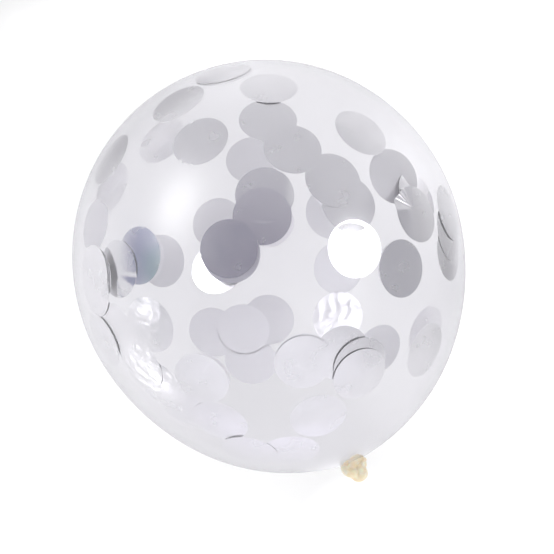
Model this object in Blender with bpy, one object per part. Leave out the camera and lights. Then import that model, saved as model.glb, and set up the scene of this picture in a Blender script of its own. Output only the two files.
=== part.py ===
"""Clear latex balloon, blown up, tied and lying on its side.

Metres, +Z up. The origin is the centre of the small flat spot that the balloon lies on.
The balloon's own axis is level and runs along Y, with the crown at +Y and the knot at -Y.
"""

import math

import bmesh
import bpy
from mathutils import Matrix, Vector
from mathutils.geometry import interpolate_bezier

# Body, measured from the belly, which is its widest ring
BELLY_RADIUS = 0.150
CROWN_LENGTH = 0.1545
NECK_LENGTH = 0.1673
BELLY_FULLNESS = 0.0615
NECK_FULLNESS = 0.1017
NECK_SLOPE = math.radians(82.5)
NECK_RADIUS = 0.0030
NECK_FILLET = 0.0038
FLAT_SPOT_RADIUS = 0.022

# Overhand knot, a trefoil of one thick strand that is pulled tight against the body
KNOT_RADIUS = 0.0115
STRAND_RADIUS = 0.0044
KNOT_SIDESTEP = 0.0025
KNOT_BITE = 0.0039
KNOT_TURN = math.radians(13)

# Tail, from the middle of the knot to the middle line of its rolled lip
TAIL_TURN = math.radians(-18.5)
TAIL_REACH = 0.0048
TAIL_LIFT = 0.0010
TAIL_ROOT_RADIUS = 0.0028
LIP_WIDTH = 0.0121
LIP_DEPTH = 0.0064
LIP_FOLD = 0.0023
LIP_RADIUS = 0.0017
MOUTH_REACH = 0.0018

# Facets
BODY_SIDES = 64
CROWN_RINGS = 20
SHOULDER_RINGS = 24
FILLET_RINGS = 3
STRAND_RINGS = 60
STRAND_SIDES = 14
LIP_RINGS = 40
LIP_SIDES = 10
KNOT_GRAIN = 0.0006
KNOT_SOFTENING = 2
KNOT_SHARE_OF_FACETS = 0.42
CREASE_ANGLE = math.radians(35)
WELD = 0.000001

# Lengths that follow from the sizes above
FLAT_SPOT_DEPTH = BELLY_RADIUS - math.sqrt(BELLY_RADIUS**2 - FLAT_SPOT_RADIUS**2)
REST_HEIGHT = BELLY_RADIUS - FLAT_SPOT_DEPTH
NECK_END = -NECK_LENGTH - NECK_FILLET * math.sin(NECK_SLOPE)

# A trefoil has lobes straight along its axis and at this angle to either side
LOBE_ANGLE = math.radians(30)


def clear_scene():
    for thing in list(bpy.data.objects):
        bpy.data.objects.remove(thing)


def latex_material():
    """Clear, glossy latex with a faint grey-lavender cast."""
    material = bpy.data.materials.new("clear latex")
    material.use_nodes = True
    shader = material.node_tree.nodes["Principled BSDF"]
    shader.inputs["Base Color"].default_value = (0.82, 0.81, 0.86, 1.0)
    shader.inputs["Roughness"].default_value = 0.08
    shader.inputs["Metallic"].default_value = 0.0
    shader.inputs["Alpha"].default_value = 0.3
    return material


def body_profile():
    """The body's half outline as points (radius, y, 0), from the crown to the neck."""
    crown = []
    for ring in range(CROWN_RINGS):
        turn = 0.5 * math.pi * ring / CROWN_RINGS
        crown.append(Vector((BELLY_RADIUS * math.sin(turn), CROWN_LENGTH * math.cos(turn), 0)))

    belly = Vector((BELLY_RADIUS, 0, 0))
    fillet_start_radius = NECK_RADIUS + NECK_FILLET * (1 - math.cos(NECK_SLOPE))
    neck = Vector((fillet_start_radius, -NECK_LENGTH, 0))
    belly_handle = belly + Vector((0, -BELLY_FULLNESS, 0))
    outwards = Vector((math.sin(NECK_SLOPE), math.cos(NECK_SLOPE), 0))
    neck_handle = neck + NECK_FULLNESS * outwards
    shoulder = interpolate_bezier(belly, belly_handle, neck_handle, neck, SHOULDER_RINGS)

    fillet = []
    for ring in range(1, FILLET_RINGS + 1):
        slope = NECK_SLOPE * (1 - ring / FILLET_RINGS)
        radius = NECK_RADIUS + NECK_FILLET * (1 - math.cos(slope))
        fillet.append(Vector((radius, NECK_END + NECK_FILLET * math.sin(slope), 0)))

    # The neck runs on to the middle of the knot, which hides its end
    neck_tip = Vector((NECK_RADIUS, knot_centre().y, 0))
    return crown + list(shoulder) + fillet + [neck_tip]


def make_body(material):
    """Spin the profile round the Y axis, close it and cut the flat spot."""
    mesh = bmesh.new()
    points = [mesh.verts.new(place) for place in body_profile()]
    edges = [mesh.edges.new(pair) for pair in zip(points, points[1:])]
    bmesh.ops.spin(mesh, geom=points + edges, cent=(0, 0, 0), axis=(0, 1, 0),
                   angle=2 * math.pi, steps=BODY_SIDES, use_merge=True)
    bmesh.ops.remove_doubles(mesh, verts=mesh.verts, dist=WELD)
    bmesh.ops.holes_fill(mesh, edges=mesh.edges)

    whole = mesh.verts[:] + mesh.edges[:] + mesh.faces[:]
    cut = bmesh.ops.bisect_plane(mesh, geom=whole, plane_co=(0, 0, -REST_HEIGHT),
                                 plane_no=(0, 0, -1), clear_outer=True)
    rim = [item for item in cut["geom_cut"] if isinstance(item, bmesh.types.BMEdge)]
    bmesh.ops.holes_fill(mesh, edges=rim)
    bmesh.ops.recalc_face_normals(mesh, faces=mesh.faces)
    return finish_object("balloon", mesh, material)


def knot_centre():
    """Middle of the knot. Its highest lobe presses into the bottom of the body."""
    lobe_reach = KNOT_RADIUS - STRAND_RADIUS
    highest_lobe = lobe_reach * math.sin(LOBE_ANGLE + KNOT_TURN) + STRAND_RADIUS
    return Vector((KNOT_SIDESTEP, KNOT_BITE - NECK_LENGTH - highest_lobe, 0))


def strand_path():
    """A closed trefoil that lies level. Its formula reaches 3 units at each of its lobes."""
    unit = (KNOT_RADIUS - STRAND_RADIUS) / 3
    turned = Matrix.Rotation(KNOT_TURN, 3, "Z")
    path = []
    for ring in range(STRAND_RINGS):
        turn = 2 * math.pi * ring / STRAND_RINGS
        across = math.sin(turn) + 2 * math.sin(2 * turn)
        along = math.cos(turn) - 2 * math.cos(2 * turn)
        over = -math.sin(3 * turn)
        path.append(knot_centre() + unit * (turned @ Vector((across, along, over))))
    return path


def lip_path(width, depth, sidestep, fold):
    """A flattened loop across the tail. Its two far corners are folded outwards."""
    tail_root = knot_centre() + Vector((0, 0, TAIL_LIFT))
    turned = Matrix.Rotation(TAIL_TURN, 3, "Z")
    path = []
    for ring in range(LIP_RINGS):
        turn = 2 * math.pi * ring / LIP_RINGS
        corner = math.cos(turn) ** 2
        offset = (sidestep + fold * corner, 0.5 * width * math.cos(turn), 0.5 * depth * math.sin(turn))
        path.append(tail_root + turned @ Vector(offset))
    return path


def closed_tube(mesh, path, radius, sides, level):
    """A round tube along a closed path. No stretch of the path runs along the level direction."""
    rings = []
    for index, middle in enumerate(path):
        ahead = (path[(index + 1) % len(path)] - path[index - 1]).normalized()
        side = ahead.cross(level).normalized()
        up = side.cross(ahead)
        ring = []
        for step in range(sides):
            turn = 2 * math.pi * step / sides
            offset = radius * (math.cos(turn) * side + math.sin(turn) * up)
            ring.append(mesh.verts.new(middle + offset))
        rings.append(ring)
    bridge_rings(mesh, rings + rings[:1])


def bridge_rings(mesh, rings):
    """Quads between each ring of vertices and the next."""
    for ring, following in zip(rings, rings[1:]):
        for step in range(len(ring)):
            beside = (step + 1) % len(ring)
            mesh.faces.new((ring[step], ring[beside], following[beside], following[step]))


def add_tail(mesh):
    """The flared tail, from a round root in the knot to the lip, with a dimple for its mouth."""
    root = 2 * TAIL_ROOT_RADIUS
    loops = []
    for share in (0, 0.5, 1):
        width = root + share * (LIP_WIDTH - root)
        depth = root + share * (LIP_DEPTH - root)
        loops.append(lip_path(width, depth, share * TAIL_REACH, share * LIP_FOLD))
    mouth_width = LIP_WIDTH - 2 * LIP_RADIUS
    mouth_depth = LIP_DEPTH - 2 * LIP_RADIUS
    loops.append(lip_path(mouth_width, mouth_depth, TAIL_REACH - MOUTH_REACH, LIP_FOLD))
    rings = [[mesh.verts.new(place) for place in loop] for loop in loops]
    bridge_rings(mesh, rings)
    mesh.faces.new(rings[0])
    mesh.faces.new(rings[-1])


def make_knot(material):
    """Strand, tail and rolled lip, fused into one lump that the body is joined to."""
    mesh = bmesh.new()
    closed_tube(mesh, strand_path(), STRAND_RADIUS, STRAND_SIDES, Vector((0, 0, 1)))
    lip = lip_path(LIP_WIDTH, LIP_DEPTH, TAIL_REACH, LIP_FOLD)
    tail_axis = Vector((math.cos(TAIL_TURN), math.sin(TAIL_TURN), 0))
    closed_tube(mesh, lip, LIP_RADIUS, LIP_SIDES, tail_axis)
    add_tail(mesh)
    bmesh.ops.recalc_face_normals(mesh, faces=mesh.faces)
    knot = finish_object("knot guide", mesh, material)

    fuse = knot.modifiers.new("Fuse", "REMESH")
    fuse.mode = "VOXEL"
    fuse.voxel_size = KNOT_GRAIN
    soften = knot.modifiers.new("Soften", "SMOOTH")
    soften.iterations = KNOT_SOFTENING
    thin = knot.modifiers.new("Thin", "DECIMATE")
    thin.ratio = KNOT_SHARE_OF_FACETS
    knot.hide_render = True
    knot.display_type = "WIRE"
    return knot


def finish_object(name, mesh, material):
    """Turn the mesh into a smooth object, raised so that the flat spot is at height 0."""
    data = bpy.data.meshes.new(name)
    mesh.to_mesh(data)
    mesh.free()
    data.materials.append(material)
    data.shade_smooth()
    data.set_sharp_from_angle(angle=CREASE_ANGLE)
    thing = bpy.data.objects.new(name, data)
    bpy.context.collection.objects.link(thing)
    thing.location = (0, 0, REST_HEIGHT)
    return thing


def main():
    clear_scene()
    latex = latex_material()
    balloon = make_body(latex)
    join = balloon.modifiers.new("Tied knot", "BOOLEAN")
    join.operation = "UNION"
    join.solver = "EXACT"
    join.object = make_knot(latex)


main()
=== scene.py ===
import math
import random

import bpy
from bpy.props import FloatProperty, FloatVectorProperty, IntProperty, PointerProperty
from mathutils import Matrix, Vector, noise
from mathutils.geometry import interpolate_bezier


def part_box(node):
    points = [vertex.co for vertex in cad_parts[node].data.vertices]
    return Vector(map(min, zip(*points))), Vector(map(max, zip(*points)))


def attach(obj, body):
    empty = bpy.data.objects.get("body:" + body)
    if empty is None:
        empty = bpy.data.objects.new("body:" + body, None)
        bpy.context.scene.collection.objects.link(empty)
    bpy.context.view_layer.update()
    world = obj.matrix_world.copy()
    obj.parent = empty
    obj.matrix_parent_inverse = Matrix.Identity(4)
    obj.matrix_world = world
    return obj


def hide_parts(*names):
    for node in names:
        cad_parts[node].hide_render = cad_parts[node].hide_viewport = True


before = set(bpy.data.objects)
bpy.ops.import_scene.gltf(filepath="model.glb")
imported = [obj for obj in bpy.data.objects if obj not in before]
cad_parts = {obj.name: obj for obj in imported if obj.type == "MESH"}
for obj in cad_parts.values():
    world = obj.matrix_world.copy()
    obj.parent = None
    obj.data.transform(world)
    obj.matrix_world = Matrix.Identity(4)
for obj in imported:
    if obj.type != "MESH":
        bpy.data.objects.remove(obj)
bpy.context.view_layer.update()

bl_info = {
    "name": "Confetti Balloon",
    "version": (1, 0, 0),
    "blender": (4, 5, 0),
    "location": "3D View > Sidebar > Balloon",
    "description": "A clear latex balloon, tied and lying on its side, with silver foil confetti",
    "category": "Object",
}

MM = 0.001
_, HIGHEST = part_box("balloon")

# Film
CROWN_RINGS = 56
SHOULDER_RINGS = 72
FILLET_RINGS = 6
FILM_SIDES = 224
FILM_WALL = 0.0003
FILM_GREY = 0.018
WELD = 0.00001

# Knot and tail, placed and turned as the solid's are
KNOT_SIDESTEP = 0.0025
KNOT_BITE = 0.0039
KNOT_TURN = math.radians(13)
LOBE_ANGLE = math.radians(30)
TAIL_TURN = math.radians(-18.5)
TAIL_REACH = 0.0048
TAIL_LIFT = 0.0010
TAIL_ROOT_RADIUS = 0.0028
TAIL_WALL = 0.0011
LIP_FOLD = 0.0023
STRAND_TURNS, STRAND_SIDES = 180, 28
LIP_TURNS, LIP_SIDES = 96, 16
TAIL_CUTS = 6
KNOT_GRAIN = 0.00028
KNOT_SOFTENING = 5

# The torus that is laid along the paths of the strand and of the lip
GUIDE_RADIUS = 0.02
GUIDE_TUBE = 0.004
PATH_STEP = 0.01

# Confetti
NEAR, FAR = "near", "far"
DISC_SIDES, DISC_RINGS = 48, 5
FOLDED_SIDES, FOLDED_RINGS = 96, 16
RIM_SHARE = 0.03
SATIN_ROUGHNESS = 0.72
CREASE_SIZE = 9 * MM
CREASE_GAIN = 2.2
WAVES_PER_METRE = 230
PROBE = 0.04
PAST_NEAR_WALL = 0.02

# Camera, from the photograph's view of the balloon
PHOTO_WIDTH = 554
FOCAL_PIXELS = 2867
SENSOR_WIDTH = 36
CAMERA_AZIMUTH = math.radians(-21.63)
CAMERA_ELEVATION = math.radians(82.03)
CAMERA_DISTANCE = 2.200
AIM_RIGHT = 0.0063
AIM_DOWN = 0.0127

# Floor
FLOOR_RADIUS = 4.0
FLOOR_SIDES = 96
FLOOR_GAP = 0.0004
FLOOR_GLOW = 0.93


# Settings

class BalloonSizes(bpy.types.PropertyGroup):
    """Sizes of the latex, in metres. The first three come from the solid."""
    belly_radius: FloatProperty(
        name="Belly radius", description="Radius of the widest ring",
        default=HIGHEST.x, subtype="DISTANCE")
    crown_length: FloatProperty(
        name="Crown length", description="From the widest ring to the top of the balloon",
        default=HIGHEST.y, subtype="DISTANCE")
    rest_height: FloatProperty(
        name="Rest height", description="Height of the balloon's own axis above the floor",
        default=HIGHEST.z - HIGHEST.x, subtype="DISTANCE")
    neck_length: FloatProperty(
        name="Neck length", description="From the widest ring to where the neck starts",
        default=0.1673, subtype="DISTANCE")
    belly_fullness: FloatProperty(
        name="Belly fullness", description="How far the outline runs straight past the belly",
        default=0.0615, subtype="DISTANCE")
    neck_fullness: FloatProperty(
        name="Neck fullness", description="How wide the outline stays as it comes to the neck",
        default=0.1017, subtype="DISTANCE")
    neck_slope: FloatProperty(
        name="Neck slope", description="Angle between the outline and the axis at the neck",
        default=math.radians(82.5), subtype="ANGLE")
    neck_radius: FloatProperty(
        name="Neck radius", description="Radius of the neck where it enters the knot",
        default=0.0030, subtype="DISTANCE")
    neck_fillet: FloatProperty(
        name="Neck fillet", description="Radius of the curve from the body into the neck",
        default=0.0038, subtype="DISTANCE")
    knot_radius: FloatProperty(
        name="Knot radius", description="Reach of the knot's lobes",
        default=0.0115, subtype="DISTANCE")
    strand_radius: FloatProperty(
        name="Strand radius", description="Thickness of the rolled latex in the knot, halved",
        default=0.0044, subtype="DISTANCE")
    lip_width: FloatProperty(
        name="Lip width", description="Width of the flattened mouth at the tail's end",
        default=0.0121, subtype="DISTANCE")
    lip_depth: FloatProperty(
        name="Lip depth", description="Depth of the flattened mouth at the tail's end",
        default=0.0064, subtype="DISTANCE")
    lip_radius: FloatProperty(
        name="Lip roll", description="Radius of the rolled bead round the mouth",
        default=0.0017, subtype="DISTANCE")


class ConfettiSizes(bpy.types.PropertyGroup):
    """Sizes of the foil discs."""
    radius: FloatProperty(
        name="Disc radius", description="Radius of one foil disc",
        default=0.0213, subtype="DISTANCE")
    thickness: FloatProperty(
        name="Foil thickness", description="Thickness of the foil, drawn heavier than life",
        default=0.00015, subtype="DISTANCE")
    clearance: FloatProperty(
        name="Clearance", description="Least gap between a disc and the latex",
        default=0.0003, subtype="DISTANCE")
    seed: IntProperty(
        name="Seed", description="Picks the discs' small bends and creases", default=7)


class Finishes(bpy.types.PropertyGroup):
    """Colours of the latex, the foil and the studio."""
    film: FloatVectorProperty(
        name="Clear latex", description="What the film lets through, squared",
        default=(0.887, 0.883, 0.900), size=3, subtype="COLOR", min=0, max=1)
    knot: FloatVectorProperty(
        name="Knot latex", description="Bunched latex, many layers thick",
        default=(1.0, 0.88, 0.69), size=3, subtype="COLOR", min=0, max=1)
    foil: FloatVectorProperty(
        name="Silver foil", description="Colour of the foil's metal",
        default=(0.90, 0.895, 0.905), size=3, subtype="COLOR", min=0, max=1)
    floor: FloatVectorProperty(
        name="Floor", description="Pale floor",
        default=(0.20, 0.20, 0.20), size=3, subtype="COLOR", min=0, max=1)


class BalloonSettings(bpy.types.PropertyGroup):
    sizes: PointerProperty(type=BalloonSizes)
    confetti: PointerProperty(type=ConfettiSizes)
    finishes: PointerProperty(type=Finishes)


def settings():
    return bpy.context.scene.confetti_balloon


# Shader maths

class Value:
    """One socket of a node tree. Arithmetic on it adds Math nodes."""

    def __init__(self, tree, socket):
        self.tree, self.socket = tree, socket

    def maths(self, operation, *numbers):
        return self.tree.node("ShaderNodeMath", {"operation": operation},
                              dict(enumerate(numbers))).out(0)

    def __add__(self, other):
        return self.maths("ADD", self, other)

    def __sub__(self, other):
        return self.maths("SUBTRACT", self, other)

    def __rsub__(self, other):
        return self.maths("SUBTRACT", other, self)

    def __mul__(self, other):
        return self.maths("MULTIPLY", self, other)

    __radd__ = __add__
    __rmul__ = __mul__


class Node:
    def __init__(self, tree, node):
        self.tree, self.node = tree, node

    def out(self, name):
        return Value(self.tree, self.node.outputs[name])


class Tree:
    """The nodes of a material or of the world."""

    def __init__(self, owner):
        owner.use_nodes = True
        self.nodes = owner.node_tree.nodes
        self.links = owner.node_tree.links

    def node(self, kind, choices=None, inputs=None):
        """A node of this kind. Its settings are chosen first, and then its sockets are filled."""
        node = self.nodes.new(kind)
        for name, choice in (choices or {}).items():
            if name == "stops":
                set_stops(node.color_ramp, choice)
            else:
                setattr(node, name, choice)
        self.fill(node, inputs or {})
        return Node(self, node)

    def fill(self, node, inputs):
        for name, value in inputs.items():
            if isinstance(value, Value):
                self.links.new(value.socket, node.inputs[name])
            else:
                node.inputs[name].default_value = value

    def mix(self, share, first, second):
        """A colour between two colours."""
        blend = self.node("ShaderNodeMix", {"data_type": "RGBA"},
                          {0: share, 6: opaque(first), 7: opaque(second)})
        return blend.out(2)

    def range(self, value, low, high, to_low=0.0, to_high=1.0):
        """A smooth step from to_low to to_high while value goes from low to high."""
        step = self.node("ShaderNodeMapRange", {"interpolation_type": "SMOOTHSTEP"},
                         {0: value, 1: low, 2: high, 3: to_low, 4: to_high})
        return step.out(0)

    def noise(self, place, scale, detail=2.0, roughness=0.5):
        texture = self.node("ShaderNodeTexNoise", None,
                            {"Vector": place, "Scale": scale, "Detail": detail,
                             "Roughness": roughness})
        return texture.out(0)

    def place(self):
        return self.node("ShaderNodeTexCoord").out("Object")


def set_stops(ramp, stops):
    while len(ramp.elements) < len(stops):
        ramp.elements.new(0.5)
    for element, (place, colour) in zip(ramp.elements, stops):
        element.position = place
        element.color = opaque(colour)


def opaque(colour):
    return colour if isinstance(colour, Value) else (*colour[:3], 1.0)


def new_material(name):
    """A material and its tree, with the shader that Blender gives it."""
    material = bpy.data.materials.new(name)
    tree = Tree(material)
    return material, tree, tree.nodes["Principled BSDF"]


def clear_latex():
    """See-through film: too thin to bend what is behind it, glossy, and greyer seen edge on."""
    material, tree, shader = new_material("clear latex")
    tree.fill(shader, {
        "Base Color": opaque(settings().finishes.film), "Roughness": 0.0, "IOR": 1.0,
        "Transmission Weight": 0.98, "Coat Weight": 0.7, "Coat IOR": 1.5,
        "Coat Roughness": 0.36})
    inside = tree.node("ShaderNodeVolumeAbsorption", None,
                       {"Color": (0.5, 0.495, 0.53, 1.0), "Density": FILM_GREY / FILM_WALL})
    tree.fill(tree.nodes["Material Output"], {"Volume": inside.out(0)})
    return material


def silver_foil():
    """Foil with rolling streaks and soft crinkles, greyed disc by disc with painted shade. One side
    is a mirror and the other is satin.
    """
    material, tree, shader = new_material("silver foil")
    place = tree.place()
    blotch = tree.noise(place, 60.0, 3.0)
    crinkle = tree.noise(place, 110.0, 2.0)
    satin = tree.node("ShaderNodeAttribute", {"attribute_name": "satin"}).out("Fac")
    # Painted shade: a value for each disc that greys the foil's colour, down to 0.8 of it
    dull = tree.node("ShaderNodeAttribute", {"attribute_name": "dull"}).out("Fac")
    foil = Vector(settings().finishes.foil)
    colour = tree.mix(tree.range(blotch, 0.35, 0.65), foil, 0.96 * foil)
    bump = tree.node("ShaderNodeBump", None,
                     {"Height": crinkle, "Strength": 0.12, "Distance": 0.0006})
    mirror = tree.range(blotch, 0.3, 0.7, 0.20, 0.28)
    tree.fill(shader, {
        "Base Color": tree.mix(dull, tree.mix(satin, colour, 1.05 * foil), 0.8 * foil),
        "Metallic": 1.0, "Roughness": mirror + satin * (SATIN_ROUGHNESS - mirror),
        "Normal": bump.out(0)})
    return material


def bunched_latex():
    """Cream latex, clearer at its thin edges."""
    material, tree, shader = new_material("knot latex")
    place = tree.place()
    blotch = tree.noise(place, 260.0, 3.0)
    fine = tree.noise(place, 1500.0, 3.0)
    cream = Vector(settings().finishes.knot)
    deep = Vector((0.96 * cream.x, 0.90 * cream.y, 0.82 * cream.z))
    pale = Vector((1.02 * cream.x, 1.03 * cream.y, 1.05 * cream.z))
    colour = tree.mix(tree.range(blotch, 0.35, 0.65), deep, pale)
    bump = tree.node("ShaderNodeBump", None,
                     {"Height": fine, "Strength": 0.25, "Distance": 0.0002})
    tree.fill(shader, {
        "Base Color": colour, "Roughness": tree.range(fine, 0.3, 0.7, 0.38, 0.5),
        "Subsurface Weight": 0.8, "Subsurface Radius": (1.0, 0.8, 0.55),
        "Subsurface Scale": 0.004, "Specular IOR Level": 0.3, "Normal": bump.out(0)})
    return material


# The photograph's view

def camera_frame():
    """The camera's place and the directions right, up and back of its picture."""
    belly = Vector((0, 0, settings().sizes.rest_height))
    right = Vector((math.cos(CAMERA_AZIMUTH), math.sin(CAMERA_AZIMUTH), 0))
    towards = Vector((math.sin(CAMERA_AZIMUTH) * math.cos(CAMERA_ELEVATION),
                      -math.cos(CAMERA_AZIMUTH) * math.cos(CAMERA_ELEVATION),
                      math.sin(CAMERA_ELEVATION)))
    up = towards.cross(right)
    place = belly + CAMERA_DISTANCE * towards
    aim = belly + AIM_RIGHT * right - AIM_DOWN * up
    back = (place - aim).normalized()
    right = (right - right.dot(back) * back).normalized()
    return place, right, back.cross(right), back


def sight_line(x, y):
    """Where the camera stands, and which way it looks at a pixel of the photograph."""
    place, right, up, back = camera_frame()
    middle = PHOTO_WIDTH / 2
    along = -back + (x - middle) / FOCAL_PIXELS * right - (y - middle) / FOCAL_PIXELS * up
    return place, along.normalized()


# Modelling help

def deselect_all():
    if bpy.context.mode != "OBJECT":
        bpy.ops.object.mode_set(mode="OBJECT")
    bpy.ops.object.select_all(action="DESELECT")


def finish_piece(thing, name, material, crease=35):
    """Name the piece, smooth it, give it its finish and hand it to the frame."""
    thing.name = name
    thing.data.name = name
    thing.data.materials.clear()
    thing.data.materials.append(material)
    deselect_all()
    thing.select_set(True)
    bpy.context.view_layer.objects.active = thing
    bpy.ops.object.transform_apply(location=True, rotation=True, scale=True)
    bpy.ops.object.shade_smooth_by_angle(angle=math.radians(crease))
    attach(thing, "root")
    return thing


def body_profile():
    """The body's half outline as points (radius, y), from the crown to the neck's tip."""
    sizes = settings().sizes
    crown = []
    for ring in range(CROWN_RINGS):
        turn = 0.5 * math.pi * ring / CROWN_RINGS
        crown.append((sizes.belly_radius * math.sin(turn), sizes.crown_length * math.cos(turn)))
    slope, fillet = sizes.neck_slope, sizes.neck_fillet
    belly = Vector((sizes.belly_radius, 0, 0))
    neck = Vector((sizes.neck_radius + fillet * (1 - math.cos(slope)), -sizes.neck_length, 0))
    belly_handle = belly + Vector((0, -sizes.belly_fullness, 0))
    neck_handle = neck + sizes.neck_fullness * Vector((math.sin(slope), math.cos(slope), 0))
    curve = interpolate_bezier(belly, belly_handle, neck_handle, neck, SHOULDER_RINGS)
    shoulder = [(point.x, point.y) for point in curve]
    neck_end = -sizes.neck_length - fillet * math.sin(slope)
    bend = []
    for ring in range(1, FILLET_RINGS + 1):
        turn = slope * (1 - ring / FILLET_RINGS)
        bend.append((sizes.neck_radius + fillet * (1 - math.cos(turn)),
                     neck_end + fillet * math.sin(turn)))
    tip = (sizes.neck_radius, knot_centre().y)
    return crown + shoulder + bend + [tip]


def knot_centre():
    """Middle of the knot. Its highest lobe presses into the bottom of the body."""
    sizes = settings().sizes
    reach = sizes.knot_radius - sizes.strand_radius
    highest_lobe = reach * math.sin(LOBE_ANGLE + KNOT_TURN) + sizes.strand_radius
    return Vector((KNOT_SIDESTEP, KNOT_BITE - sizes.neck_length - highest_lobe,
                   sizes.rest_height))


# Pieces

def spin_outline(outline, sides):
    """Extrude an outline of points (radius, place along the axis) and spin it round the axis."""
    height = settings().sizes.rest_height
    deselect_all()
    bpy.ops.mesh.primitive_plane_add(size=0.01, location=(0, 0, height))
    thing = bpy.context.object
    bpy.ops.object.mode_set(mode="EDIT")
    bpy.ops.mesh.merge(type="CENTER")
    bpy.ops.transform.translate(value=(outline[0][0], outline[0][1], 0))
    for (radius, along), (next_radius, next_along) in zip(outline, outline[1:]):
        step = (next_radius - radius, next_along - along, 0)
        bpy.ops.mesh.extrude_region_move(TRANSFORM_OT_translate={"value": step})
    bpy.ops.mesh.select_all(action="SELECT")
    bpy.ops.mesh.spin(steps=sides, angle=2 * math.pi, center=(0, 0, height), axis=(0, 1, 0))
    bpy.ops.mesh.select_all(action="SELECT")
    bpy.ops.mesh.remove_doubles(threshold=WELD)
    bpy.ops.mesh.select_all(action="SELECT")
    bpy.ops.mesh.normals_make_consistent(inside=False)
    bpy.ops.object.mode_set(mode="OBJECT")
    return thing


def apply_modifier(thing, name, kind, **choices):
    """Add a modifier with these settings and apply it."""
    bpy.context.view_layer.objects.active = thing
    modifier = thing.modifiers.new(name, kind)
    for choice, value in choices.items():
        setattr(modifier, choice, value)
    bpy.ops.object.modifier_apply(modifier=name)


class BALLOON_OT_film(bpy.types.Operator):
    """Blow up the clear film: its outline is extruded point by point and spun round the axis"""
    bl_idname = "balloon.film"
    bl_label = "Clear film"

    def execute(self, context):
        film = spin_outline(body_profile(), FILM_SIDES)
        bpy.ops.object.mode_set(mode="EDIT")
        bpy.ops.mesh.select_all(action="SELECT")
        bpy.ops.mesh.bisect(plane_co=(0, 0, 0), plane_no=(0, 0, -1), use_fill=True,
                            clear_outer=True)
        bpy.ops.mesh.select_all(action="DESELECT")
        bpy.ops.mesh.select_non_manifold()
        bpy.ops.mesh.edge_face_add()
        bpy.ops.mesh.select_all(action="SELECT")
        bpy.ops.mesh.normals_make_consistent(inside=False)
        bpy.ops.object.mode_set(mode="OBJECT")
        apply_modifier(film, "Wall", "SOLIDIFY", thickness=FILM_WALL, offset=-1)
        finish_piece(film, "balloon_film", clear_latex())
        # The wall's inner corners may come out a hair below the floor
        for vertex in film.data.vertices:
            vertex.co.z = max(vertex.co.z, 0)
        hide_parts("balloon")
        return {"FINISHED"}


def strand_point(turn):
    """A point on the trefoil that the strand follows. Its formula reaches 3 units at each lobe."""
    sizes = settings().sizes
    unit = (sizes.knot_radius - sizes.strand_radius) / 3
    place = Vector((math.sin(turn) + 2 * math.sin(2 * turn),
                    math.cos(turn) - 2 * math.cos(2 * turn), -math.sin(3 * turn)))
    return knot_centre() + unit * (Matrix.Rotation(KNOT_TURN, 3, "Z") @ place)


def lip_point(turn, width, depth, sidestep, fold):
    """A point on a flattened loop across the tail, with its far corners folded outwards."""
    root = knot_centre() + Vector((0, 0, TAIL_LIFT))
    place = Vector((sidestep + fold * math.cos(turn) ** 2,
                    0.5 * width * math.cos(turn), 0.5 * depth * math.sin(turn)))
    return root + Matrix.Rotation(TAIL_TURN, 3, "Z") @ place


def make_tube(sections, sides, path, level, radius):
    """Lay a torus along a closed path. radius tells the tube's radius from both of its angles."""
    deselect_all()
    bpy.ops.mesh.primitive_torus_add(major_segments=sections, major_radius=GUIDE_RADIUS,
                                     minor_segments=sides, minor_radius=GUIDE_TUBE)
    thing = bpy.context.object
    for vertex in thing.data.vertices:
        place = vertex.co.copy()
        turn = math.atan2(place.y, place.x)
        out = math.hypot(place.x, place.y) - GUIDE_RADIUS
        roll = math.atan2(place.z, out)
        middle = path(turn)
        ahead = (path(turn + PATH_STEP) - path(turn - PATH_STEP)).normalized()
        side = ahead.cross(level).normalized()
        up = side.cross(ahead)
        vertex.co = middle + radius(turn, roll) * (math.cos(roll) * side + math.sin(roll) * up)
    return thing


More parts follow.
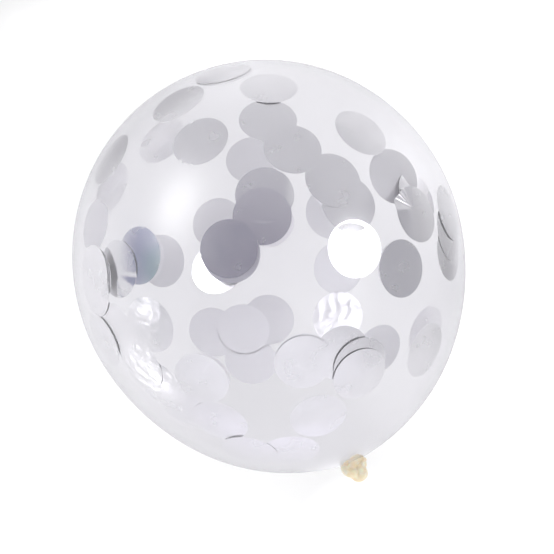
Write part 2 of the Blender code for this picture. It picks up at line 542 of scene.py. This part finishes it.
class BALLOON_OT_knot(bpy.types.Operator):
    """Tie the neck: a rolled strand in a trefoil, the short tail and its rolled lip, fused"""
    bl_idname = "balloon.knot"
    bl_label = "Tied knot"

    def execute(self, context):
        sizes = settings().sizes

        def strand_radius(turn, roll):
            folds = math.cos(5 * roll + 4 * turn) + 0.5 * math.cos(9 * roll - 7 * turn)
            return sizes.strand_radius * (0.91 + 0.05 * folds)

        def lip_loop(turn):
            return lip_point(turn, sizes.lip_width, sizes.lip_depth, TAIL_REACH, LIP_FOLD)

        def lip_radius(turn, roll):
            return sizes.lip_radius * (1 + 0.08 * math.sin(7 * turn))

        strand = make_tube(STRAND_TURNS, STRAND_SIDES, strand_point, Vector((0, 0, 1)),
                           strand_radius)
        tail_axis = Vector((math.cos(TAIL_TURN), math.sin(TAIL_TURN), 0))
        lip = make_tube(LIP_TURNS, LIP_SIDES, lip_loop, tail_axis, lip_radius)
        tail = self.make_tail(context)
        deselect_all()
        for thing in (strand, lip, tail):
            thing.select_set(True)
        context.view_layer.objects.active = strand
        bpy.ops.object.join()
        knot = context.object

        apply_modifier(knot, "Fuse", "REMESH", mode="VOXEL", voxel_size=KNOT_GRAIN)
        apply_modifier(knot, "Soften", "SMOOTH", iterations=KNOT_SOFTENING)
        self.wrinkle(knot)
        finish_piece(knot, "balloon_knot", bunched_latex(), 60)
        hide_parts("balloon")
        return {"FINISHED"}

    def make_tail(self, context):
        """The flared tail as an open funnel with a wall, so that its mouth is a real one."""
        sizes = settings().sizes
        deselect_all()
        bpy.ops.mesh.primitive_cylinder_add(vertices=LIP_TURNS, radius=1, depth=1,
                                            end_fill_type="NOTHING")
        tail = context.object
        bpy.ops.object.mode_set(mode="EDIT")
        bpy.ops.mesh.select_all(action="SELECT")
        bpy.ops.mesh.subdivide(number_cuts=TAIL_CUTS)
        bpy.ops.mesh.remove_doubles(threshold=0.0001)
        bpy.ops.object.mode_set(mode="OBJECT")
        root = 2 * TAIL_ROOT_RADIUS
        for vertex in tail.data.vertices:
            share = vertex.co.z + 0.5
            turn = math.atan2(vertex.co.y, vertex.co.x)
            pleat = 1 + 0.06 * share * math.cos(11 * turn)
            width = (root + share * (sizes.lip_width - root)) * pleat
            depth = (root + share * (sizes.lip_depth - root)) * pleat
            vertex.co = lip_point(turn, width, depth, share * TAIL_REACH, share * LIP_FOLD)
        apply_modifier(tail, "Wall", "SOLIDIFY", thickness=TAIL_WALL, offset=-1)
        return tail

    def wrinkle(self, knot):
        """Fine creases where the latex is rolled and pulled tight."""
        knot.data.update()
        for vertex in knot.data.vertices:
            place = vertex.co / MM
            crease = abs(noise.noise(place * 0.55)) + 0.5 * abs(noise.noise(place * 1.3))
            vertex.co += vertex.normal * (0.10 - 0.60 * crease) * MM


def disc(name, x, y, rise=0.0, lean=0, lean_to=0, wall=NEAR, bend=None, crumple=0.0,
         pleats=None, matt=None, dull=0.0):
    """One disc: the photograph's pixel that it is centred on and how it clings to the film.

    rise: its distance from the film in mm, where others lie between. lean: degrees that the
    side we see is turned off the film, towards the clock direction lean_to, in degrees from up.
    bend: 1 hugs the film and 0 is flat. crumple: height of its creases in mm. pleats: creases
    that fan out from a point, as pleat_height() takes them. matt: how matt the side that we see
    is, from 0, a mirror, to 1, satin. dull: painted shade that greys its foil, 0 to 1.
    """
    return dict(name=name, x=x, y=y, rise=rise, lean=math.radians(lean),
                lean_to=math.radians(lean_to), wall=wall, bend=bend, crumple=crumple,
                pleats=pleats, matt=matt, dull=dull)


# Discs given painted shade have their foil greyed to darken them
DISCS = (
    # Middle
    disc("dark_middle", 228.5, 248.5, bend=0.5),
    disc("under_dark_middle", 230.5, 253.5, rise=0.5, bend=0.5, matt=0.3),
    disc("behind_middle", 214.5, 266, rise=1.4, lean=25, lean_to=-19),
    disc("pair_lower", 262, 215.5, rise=0.6, bend=0.4),
    disc("pair_upper", 264.5, 193.5, rise=1.5, bend=0.4, pleats=(15, -10, 62, 60, 1, 3.7)),
    disc("behind_pair", 268, 221, wall=FAR),
    disc("left_of_pair", 217.5, 223.5, wall=FAR, dull=0.5),
    # Top
    disc("upper_grey", 293, 147.5, bend=0.5),
    disc("upper_wide", 268, 117.5, rise=0.75, bend=0.5),
    disc("upper_pale", 252, 159, wall=FAR, dull=0.55),
    disc("top_pale", 269, 85.5, bend=0.6),
    disc("top_rim", 222, 71),
    disc("under_top_rim", 223.5, 72.5, rise=0.4),
    disc("upper_left", 199.5, 139.5, bend=0.4, dull=0.25),
    disc("top_left_rim", 177, 101.5, bend=0.5),
    disc("left_rim_high", 109, 158, bend=0.5),
    # Right of the middle
    disc("right_of_middle", 334, 179, rise=0.2),
    disc("right_of_middle_low", 350, 203, rise=0.5),
    disc("pale_middle", 331, 213, wall=FAR, dull=0.55),
    disc("pale_right_high", 362, 131, bend=0.7),
    disc("right_high", 400.8, 172, rise=0.6, lean=15, lean_to=-130, matt=0.5, dull=0.3),
    disc("right_high_under", 424, 195.5, rise=4.5),
    disc("right_crinkled", 418, 213.5, pleats=(-5.5, 3, 146, 122, 2, 4.0), dull=0.35),
    disc("shining", 356, 248.5, bend=0.0),
    disc("left_of_shining", 339, 268, wall=FAR, dull=0.25),
    disc("right_dark", 403, 268.5, bend=0.4),
    disc("right_rim_upper", 450.5, 212),
    disc("right_rim_middle", 451.5, 232, rise=0.8),
    disc("right_rim_lower", 452, 252, rise=1.15),
    # Left
    disc("left_rim_middle", 93.5, 225, wall=FAR),
    disc("left_blue", 132.5, 255.5, rise=5.0, dull=0.3),
    disc("left_lavender", 161, 261, wall=FAR, dull=0.25),
    disc("left_crinkled", 111.5, 269.5, rise=4.4, pleats=(-3.5, -3, -35, 80, 1.5, 0.5),
         dull=0.4),
    disc("left_large", 92.0, 273.5),
    disc("left_large_under", 92.3, 274.5, rise=0.4),
    disc("left_large_third", 92.8, 275, rise=0.8),
    disc("left_large_deep", 93.6, 276, rise=1.25),
    disc("left_large_low", 93, 289, rise=0.2),
    disc("left_low_pale", 114.5, 331, rise=0.95),
    disc("left_low_rim", 102, 341),
    disc("left_low_crinkled", 148, 326, rise=0.7, crumple=0.15),
    disc("crumpled_upper", 138, 366, rise=1.0, crumple=0.35),
    disc("crumpled_lower", 156, 386, rise=1.4, crumple=0.35),
    # Bottom
    disc("low_rim_left", 181, 410, rise=1.4),
    disc("low_left", 200.5, 380, rise=0.3),
    disc("low_left_wide", 219, 424, rise=1.0),
    disc("low_narrow", 249, 453),
    disc("low_rim", 291, 453, rise=0.3),
    disc("low_right_wide", 319, 418, bend=0.7),
    disc("low_middle", 304, 363.5, rise=0.35),
    disc("low_middle_under", 303.5, 362, rise=1.2),
    disc("low_middle_right", 343, 355, rise=2.0),
    disc("overlap_front", 361.5, 376, lean=3, lean_to=145),
    disc("overlap_back", 362, 365.5, rise=0.6, lean=3, lean_to=145, dull=0.6),
    disc("overlap_grey", 379, 350, wall=FAR, dull=0.9),
    disc("crinkled_foil", 339, 318, lean=4, lean_to=125, wall=FAR, crumple=0.6, matt=0.6),
    disc("right_low_narrow", 427, 351),
    disc("right_low_pale", 427, 332, wall=FAR, matt=0),
    # On the far wall
    disc("cluster_left", 213.5, 333, rise=0.35, wall=FAR),
    disc("cluster_between", 243, 330, rise=1.05, wall=FAR),
    disc("cluster_upper", 268, 321, rise=0.7, wall=FAR, dull=0.3),
    disc("cluster_lower", 251, 362, wall=FAR),
    disc("far_top_left", 161, 140, wall=FAR, matt=0),
    disc("far_left_rim", 110, 187, wall=FAR, matt=0),
    # On the far wall, behind others
    disc("hidden_middle", 228, 250, wall=FAR, rise=0.35),
    disc("hidden_right", 336, 186, wall=FAR, rise=0.35),
    disc("hidden_shining", 356, 250, wall=FAR, rise=0.35),
    disc("hidden_dark", 399, 267, wall=FAR),
    disc("hidden_low_left", 204, 377, wall=FAR, rise=0.7),
    disc("hidden_low", 308, 364, wall=FAR),
    disc("hidden_low_right", 320, 416, wall=FAR),
    disc("hidden_left", 142, 256, wall=FAR, rise=0.35),
)


def beyond_film(film, point, outwards):
    """How far a point lies outside the film, along the outward direction."""
    start = point + PROBE * outwards
    hit, place, _, _ = film.ray_cast(start, -outwards, distance=2 * PROBE)
    return (point - place).dot(outwards) if hit else PROBE


class BALLOON_OT_confetti(bpy.types.Operator):
    """Cut one foil disc, then cling a bent copy of it to the film for each one in the photograph"""
    bl_idname = "balloon.confetti"
    bl_label = "Foil confetti"

    def execute(self, context):
        film = bpy.data.objects["balloon_film"]
        foil = silver_foil()
        plain = self.cut_disc(context, DISC_SIDES, DISC_RINGS)
        supple = self.cut_disc(context, FOLDED_SIDES, FOLDED_RINGS)
        chance = random.Random(settings().confetti.seed)
        for spec in DISCS:
            pattern = supple if spec["crumple"] or spec["pleats"] else plain
            piece = pattern.copy()
            piece.data = pattern.data.copy()
            context.collection.objects.link(piece)
            self.cling(piece, film, spec, chance)
            self.choose_finish(piece.data, spec)
            finish_piece(piece, "confetti_" + spec["name"], foil, 40)
        bpy.data.objects.remove(plain)
        bpy.data.objects.remove(supple)
        return {"FINISHED"}

    def cut_disc(self, context, sides, rings):
        """A flat disc with rings of faces, so that it can bend, and as thick as the foil."""
        sizes = settings().confetti
        deselect_all()
        bpy.ops.mesh.primitive_circle_add(vertices=sides, radius=sizes.radius, fill_type="NGON")
        piece = context.object
        bpy.ops.object.mode_set(mode="EDIT")
        bpy.ops.mesh.select_all(action="SELECT")
        bpy.ops.mesh.inset(thickness=RIM_SHARE * sizes.radius)
        for _ in range(rings - 1):
            bpy.ops.mesh.inset(thickness=(1 - RIM_SHARE) / rings * sizes.radius)
        bpy.ops.mesh.poke()
        bpy.ops.object.mode_set(mode="OBJECT")
        apply_modifier(piece, "Foil", "SOLIDIFY", thickness=sizes.thickness, offset=0)
        satin = piece.data.attributes.new("satin", "FLOAT", "FACE")
        for face in piece.data.polygons:
            satin.data[face.index].value = 0.0 if face.normal.z > 0.5 else 1.0
        return piece

    def choose_finish(self, mesh, spec):
        """Set the painted shade that greys the foil, and how matt the side that we see is."""
        # Painted shade: the same greying on every face of the disc
        dull = mesh.attributes.new("dull", "FLOAT", "FACE")
        dull.data.foreach_set("value", [spec["dull"]] * len(mesh.polygons))
        if spec["matt"] is None:
            return
        seen = 0.0 if spec["wall"] == NEAR else 1.0
        for face in mesh.attributes["satin"].data:
            if face.value == seen:
                face.value = spec["matt"]

    def wall_place(self, film, spec):
        """The film's place and outward direction at a pixel, on its near or its far wall."""
        camera, along = sight_line(spec["x"], spec["y"])
        hit, place, normal, _ = film.ray_cast(camera, along)
        if hit and spec["wall"] == FAR:
            hit, place, normal, _ = film.ray_cast(place + PAST_NEAR_WALL * along, along)
            normal = -normal
            place = place + FILM_WALL * normal
        if not hit:
            raise RuntimeError(f"the line of sight to {spec['name']} misses the film")
        return place, normal

    def cling(self, piece, film, spec, chance):
        """Bend the disc to the wall, lean it, and slide it in until all of it is inside."""
        sizes = settings().confetti
        place, outwards = self.wall_place(film, spec)
        _, right, up, _ = camera_frame()
        first = (right - right.dot(outwards) * outwards).normalized()
        second = outwards.cross(first)
        tip = math.cos(spec["lean_to"]) * up + math.sin(spec["lean_to"]) * right
        side = 1 if spec["wall"] == NEAR else -1
        lean = Matrix.Rotation(side * spec["lean"], 3, outwards.cross(tip))
        hug = chance.uniform(0.92, 1.0) if spec["bend"] is None else spec["bend"]
        grain = chance.uniform(0, 2 * math.pi)
        waves = chance.uniform(0.02, 0.06) * MM
        patch = Vector((chance.uniform(0, 50), chance.uniform(0, 50), 0))
        for vertex in piece.data.vertices:
            u, v, lift = vertex.co
            flat = u * first + v * second
            height = -hug * beyond_film(film, place + flat, outwards)
            along_grain = u * math.cos(grain) + v * math.sin(grain)
            height += waves * math.sin(WAVES_PER_METRE * along_grain + grain)
            if spec["crumple"]:
                spot = Vector((u, v, 0)) / CREASE_SIZE + patch
                ridges = abs(noise.noise(spot)) + 0.45 * abs(noise.noise(2.3 * spot))
                height -= spec["crumple"] * MM * CREASE_GAIN * ridges
            if spec["pleats"]:
                height += pleat_height(u, v, *spec["pleats"])
            vertex.co = place + lean @ (flat + (lift + height) * outwards)

        proud = max(beyond_film(film, vertex.co, outwards) for vertex in piece.data.vertices)
        inwards = proud + FILM_WALL + sizes.clearance + spec["rise"] * MM
        for vertex in piece.data.vertices:
            vertex.co -= inwards * outwards


def pleat_height(u, v, right, up, towards, spread, count, depth):
    """Height in metres of pleats that fan out to the disc's edge.

    right, up: where they start, in mm from the middle. towards, spread: the fan's middle line
    and its width in degrees. count: pleats in it, each steep at first and then shallow. depth:
    their depth in mm, 20 mm from the start.
    """
    across, along = u / MM - right, v / MM - up
    turn = math.degrees(math.atan2(along, across)) - towards
    share = (turn + 180) % 360 - 180
    share = share / spread + 0.5
    if not 0 < share < 1:
        return 0.0
    fade = min(1.0, 3 * math.sin(math.pi * share))
    tooth = count * share % 1
    flank = tooth / 0.3 if tooth < 0.3 else (1 - tooth) / 0.7
    fold = flank * flank * (3 - 2 * flank)
    return -depth * MM * math.hypot(across, along) / 20 * fade * fold


# The studio

# Painted pools of light and painted shade in the floor's glow. A bright one is a painted pool of
# light that the film and the discs mirror as a painted highlight; a dark one is painted shade, a
# painted shadow under the balloon or a dark patch that the discs mirror as a painted dark
# reflection.
# Metres right and up from the balloon, inner and outer radius, brightness
PAINTED_LIGHT_AND_SHADE_POOLS = (
    (0.48, 0.37, 0.03, 0.13, 2.2),
    (-0.47, -0.40, 0.04, 0.15, 1.6),
    (0.50, 0.03, 0.08, 0.22, -0.45),
    (1.60, 0.20, 0.40, 1.00, -0.40),
    (0.36, -0.03, 0.04, 0.15, -0.25),
    (-0.27, 0.39, 0.10, 0.21, -0.50),
    (-0.35, 0.24, 0.04, 0.12, -0.25),
    (-0.29, 0.19, 0.03, 0.09, -0.30),
    (0.00, 0.50, 0.06, 0.18, 0.10),
    (-0.04, 0.22, 0.03, 0.08, 0.12),
    (0.17, 0.115, 0.02, 0.12, 0.21),
    (-0.10, 0.10, 0.02, 0.16, -0.12),
    (-0.08, -0.08, 0.02, 0.12, -0.06),
    (0.01, -0.13, 0.03, 0.12, -0.10),
    (0.06, -0.14, 0.01, 0.07, -0.06),
    (0.08, -0.21, 0.01, 0.06, 1.4),
    (-0.62, -0.15, 0.25, 0.45, 0.04),
    (0.12, -0.90, 0.35, 0.65, 0.25),
    (1.70, -2.00, 0.60, 1.60, 0.14),
)
# A painted pool that tints the floor's glow: metres right and up, inner and outer radius, colour
PAINTED_TINTED_POOL = (0.00, -0.90, 0.35, 0.65, (0.975, 0.965, 1.02))

# How bright the room is, by the angle from where the camera looks from
ROOM = (
    (0.18, (0.97, 0.97, 0.97)),
    (0.50, (0.84, 0.84, 0.86)),
    (0.735, (0.77, 0.77, 0.79)),
    (0.835, (0.66, 0.66, 0.69)),
    (0.905, (0.60, 0.59, 0.64)),
    (0.941, (0.49, 0.48, 0.54)),
    (0.983, (0.275, 0.265, 0.335)),
)

# Parts of the room with their own colour: right, up and back, cosines of the outer and the
# inner angle, colour
WALLS = (
    ((0.00, -0.95, 0.30), 0.45, 0.82, (1.20, 1.20, 1.23)),
    ((1.00, 0.05, 0.00), 0.80, 0.95, (0.53, 0.53, 0.56)),
    ((-0.985, 0.08, 0.17), 0.94, 0.975, (0.265, 0.275, 0.455)),
    ((-0.94, -0.07, 0.34), 0.972, 0.994, (0.30, 0.44, 0.46)),
    ((-0.926, -0.355, 0.129), 0.993, 0.9985, (3.0, 3.0, 3.0)),
    ((-0.289, 0.115, 0.95), 0.9969, 0.999, (0.42, 0.41, 0.49)),
    ((-0.47, 0.88, -0.03), 0.95, 0.99, (0.77, 0.77, 0.79)),
)

# Soft lamps: name, the photograph's pixel where the film mirrors it, width, height, distance from
# the film, brightness
LAMPS = (
    ("window_glow", 177, 203, 0.73, 0.40, 1.2, 11.5),
    ("small_glow", 353.7, 248.5, 0.36, 0.36, 1.2, 4.0),
)


class BALLOON_OT_studio(bpy.types.Operator):
    """Set the floor, the soft lights and the camera"""
    bl_idname = "balloon.studio"
    bl_label = "Studio"

    def execute(self, context):
        self.lay_floor(context)
        self.paint_room(context)
        self.place_camera(context)
        for lamp in LAMPS:
            self.hang_lamp(context, *lamp)
        context.scene.view_settings.view_transform = "Standard"
        return {"FINISHED"}

    def lay_floor(self, context):
        deselect_all()
        bpy.ops.mesh.primitive_circle_add(vertices=FLOOR_SIDES, radius=FLOOR_RADIUS,
                                          fill_type="NGON", location=(0, 0, -FLOOR_GAP))
        floor = context.object
        floor.name = "floor"
        bpy.ops.object.transform_apply(location=True, rotation=True, scale=True)
        material, tree, shader = new_material("floor")
        _, right, up, _ = camera_frame()
        spot = tree.place()

        # Each pool is a soft round patch of painted light or painted shade added to the floor's
        # even glow
        def painted_pool(across, along, inner, outer, brightness):
            middle = across * right + along * up
            away = tree.node("ShaderNodeVectorMath", {"operation": "DISTANCE"},
                             {0: spot, 1: Vector((middle.x, middle.y, 0))}).out("Value")
            return tree.range(away, inner, outer, brightness, 0.0)

        # The floor's even glow, with the painted pools of light and painted shade and the painted
        # tint added
        glow = FLOOR_GLOW
        for place in PAINTED_LIGHT_AND_SHADE_POOLS:
            glow = glow + painted_pool(*place)
        *place, colour = PAINTED_TINTED_POOL
        tint = tree.mix(painted_pool(*place, 1.0), (1.0, 1.0, 1.0), colour)
        light = tree.node("ShaderNodeVectorMath", {"operation": "SCALE"},
                          {"Vector": tint, "Scale": glow})
        tree.fill(shader, {
            "Base Color": opaque(settings().finishes.floor), "Roughness": 0.9,
            "Specular IOR Level": 0.0, "Emission Color": light.out(0), "Emission Strength": 1.0})
        floor.data.materials.append(material)

    def paint_room(self, context):
        """A soft room: dim behind the camera, pale at the horizon, with its own dim corners."""
        world = bpy.data.worlds.new("studio")
        context.scene.world = world
        tree = Tree(world)
        direction = tree.node("ShaderNodeTexCoord").out("Generated")
        _, right, up, back = camera_frame()
        facing = self.towards(tree, direction, (back - 0.22 * right).normalized())
        glow = tree.node("ShaderNodeValToRGB", {"stops": ROOM}, {0: facing * 0.5 + 0.5}).out(0)
        for (across, along, out), low, high, colour in WALLS:
            middle = (across * right + along * up + out * back).normalized()
            share = tree.range(self.towards(tree, direction, middle), low, high)
            glow = tree.mix(share, glow, Vector(colour))
        tree.fill(tree.nodes["Background"], {"Color": glow, "Strength": 1.0})

    def towards(self, tree, direction, middle):
        """Cosine of the angle between two directions."""
        return tree.node("ShaderNodeVectorMath", {"operation": "DOT_PRODUCT"},
                         {0: direction, 1: middle}).out("Value")

    def place_camera(self, context):
        place, right, up, back = camera_frame()
        data = bpy.data.cameras.new("camera")
        data.sensor_width = SENSOR_WIDTH
        data.lens = FOCAL_PIXELS / PHOTO_WIDTH * data.sensor_width
        camera = bpy.data.objects.new("camera", data)
        camera.location = place
        camera.rotation_euler = Matrix((right, up, back)).transposed().to_euler()
        context.collection.objects.link(camera)
        context.scene.camera = camera

    def hang_lamp(self, context, name, x, y, width, height, distance, brightness):
        """A soft lamp where the film mirrors it into the camera at a pixel of the photograph."""
        film = bpy.data.objects["balloon_film"]
        camera, along = sight_line(x, y)
        _, place, normal, _ = film.ray_cast(camera, along)
        glance = along.reflect(normal)
        data = bpy.data.lights.new(name, "AREA")
        data.shape = "ELLIPSE"
        data.size = width
        data.size_y = height
        data.energy = brightness * math.pi * math.pi * width * height / 4
        lamp = bpy.data.objects.new(name, data)
        lamp.location = place + distance * glance
        lamp.rotation_euler = glance.to_track_quat("Z", "Y").to_euler()
        context.collection.objects.link(lamp)


class BALLOON_PT_sidebar(bpy.types.Panel):
    """Buttons for the steps that build the balloon and its studio"""
    bl_idname = "BALLOON_PT_sidebar"
    bl_label = "Confetti Balloon"
    bl_space_type = "VIEW_3D"
    bl_region_type = "UI"
    bl_category = "Balloon"

    def draw(self, context):
        for step in STEPS:
            self.layout.operator(step.bl_idname)


STEPS = (BALLOON_OT_film, BALLOON_OT_knot, BALLOON_OT_confetti, BALLOON_OT_studio)
CLASSES = (BalloonSizes, ConfettiSizes, Finishes, BalloonSettings, *STEPS, BALLOON_PT_sidebar)


def register():
    for item in CLASSES:
        bpy.utils.register_class(item)
    bpy.types.Scene.confetti_balloon = PointerProperty(type=BalloonSettings)


def unregister():
    del bpy.types.Scene.confetti_balloon
    for item in reversed(CLASSES):
        bpy.utils.unregister_class(item)


def main():
    register()
    bpy.ops.balloon.film()
    bpy.ops.balloon.knot()
    bpy.ops.balloon.confetti()
    bpy.ops.balloon.studio()


if __name__ == "__main__":
    main()
